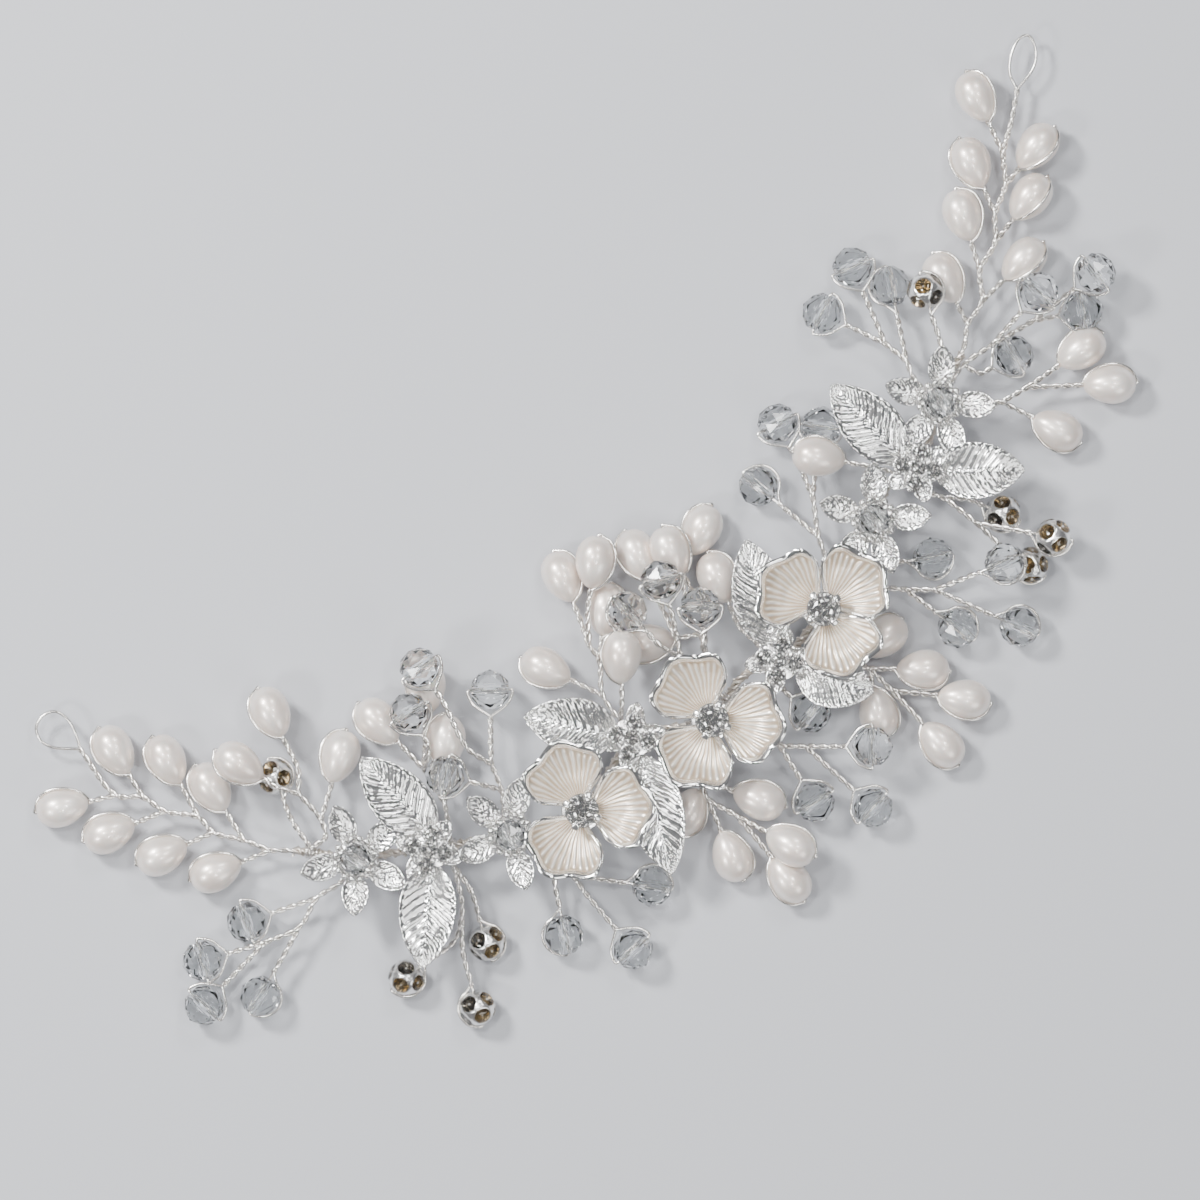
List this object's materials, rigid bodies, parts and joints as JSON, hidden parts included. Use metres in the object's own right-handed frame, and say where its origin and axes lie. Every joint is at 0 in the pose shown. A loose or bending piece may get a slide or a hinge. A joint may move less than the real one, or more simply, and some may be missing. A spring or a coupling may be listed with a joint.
{
  "type": "bridal hair vine",
  "caption": "Flexible twisted-wire hair ornament with pearls, faceted clear beads, enamelled flowers and stamped silver leaves, with a wire loop at each end for pinning.",
  "frame": {"origin": "middle of the footprint, on the hair side that the vine lies on", "axes": "+X from the left end loop to the right end loop, +Y from the bulge of the arc towards its hollow side, +Z away from the hair, towards the show side"},
  "size_m": [0.1835, 0.0858, 0.0123],
  "materials": {
    "wire": "bright warm silver plating on twisted 0.4 mm wire",
    "pearl": "silky ivory imitation pearl",
    "crystal": "clear faceted glass",
    "rhinestone": "clear foil-backed stones in silver settings",
    "leaf_silver": "bright stamped silver with embossed veins",
    "flower_silver": "bright stamped silver, grained petals",
    "enamel": "champagne pearl enamel with fine ribs and a silver rim"
  },
  "bodies": {
    "centre": {"centre_spine": "wire", "enamel_flower_centre": "enamel", "flower_stone_centre": "rhinestone", "centre_high_crystal_spray": "crystal", "centre_upper_pearl_spray": "pearl", "centre_lower_pearl_spray": "pearl", "centre_crystal_spray": "crystal"},
    "left_wing": {"left_wing_spine": "wire", "enamel_flower_left": "enamel", "flower_stone_left": "rhinestone", "leaf_pair_outer_left": "leaf_silver", "stone_cluster_outer_left": "rhinestone", "leaf_pair_inner_left": "leaf_silver", "stone_cluster_inner_left": "rhinestone", "small_flower_outer_left": "flower_silver", "small_flower_bead_outer_left": "crystal", "small_flower_inner_left": "flower_silver", "small_flower_bead_inner_left": "crystal", "left_flower_spray": "pearl", "left_crystal_spray": "crystal", "left_mixed_spray": "pearl", "left_high_crystal_spray": "crystal", "left_ball_spray": "rhinestone", "left_low_crystal_spray": "crystal", "left_pearl_spray": "pearl"},
    "left_tip": {"left_tip_spine": "wire", "left_tip_pearl_1": "pearl", "left_tip_pearl_2": "pearl", "left_tip_pearl_3": "pearl", "left_tip_pearl_4": "pearl", "left_tip_pearl_5": "pearl", "left_tip_pearl_6": "pearl", "left_tip_pearl_7": "pearl"},
    "right_wing": {"right_wing_spine": "wire", "enamel_flower_right": "enamel", "flower_stone_right": "rhinestone", "leaf_pair_inner_right": "leaf_silver", "stone_cluster_inner_right": "rhinestone", "leaf_pair_outer_right": "leaf_silver", "stone_cluster_outer_right": "rhinestone", "small_flower_inner_right": "flower_silver", "small_flower_bead_inner_right": "crystal", "small_flower_outer_right": "flower_silver", "small_flower_bead_outer_right": "crystal", "right_two_twig_spray": "crystal", "right_crystal_spray": "crystal", "right_pearl_spray": "pearl", "right_upper_crystal_spray": "crystal", "right_ball_spray": "rhinestone", "right_mixed_spray": "crystal", "right_high_crystal_spray": "crystal", "right_outer_pearl_spray": "pearl"},
    "right_tip": {"right_tip_spine": "wire", "right_tip_pearl_1": "pearl", "right_tip_pearl_2": "pearl", "right_tip_pearl_3": "pearl", "right_tip_pearl_4": "pearl", "right_tip_pearl_5": "pearl", "right_tip_pearl_6": "pearl", "right_tip_pearl_7": "pearl"}
  },
  "joints": [
    {"name": "left_inner_bend", "type": "hinge", "parent": "centre", "child": "left_wing", "pos_m": [-0.0091, -0.0108, 0.0036], "axis": [-0.385, -0.9229, 0], "range_deg": [0, 25]},
    {"name": "left_outer_bend", "type": "hinge", "parent": "left_wing", "child": "left_tip", "pos_m": [-0.0645, 0.006, 0.0036], "axis": [-0.6331, -0.7741, 0], "range_deg": [0, 25]},
    {"name": "right_inner_bend", "type": "hinge", "parent": "centre", "child": "right_wing", "pos_m": [0.004, -0.011, 0.0036], "axis": [-0.14, 0.9901, 0], "range_deg": [0, 25]},
    {"name": "right_outer_bend", "type": "hinge", "parent": "right_wing", "child": "right_tip", "pos_m": [0.058, 0.01, 0.0036], "axis": [-0.6331, 0.7741, 0], "range_deg": [0, 25]}
  ]
}
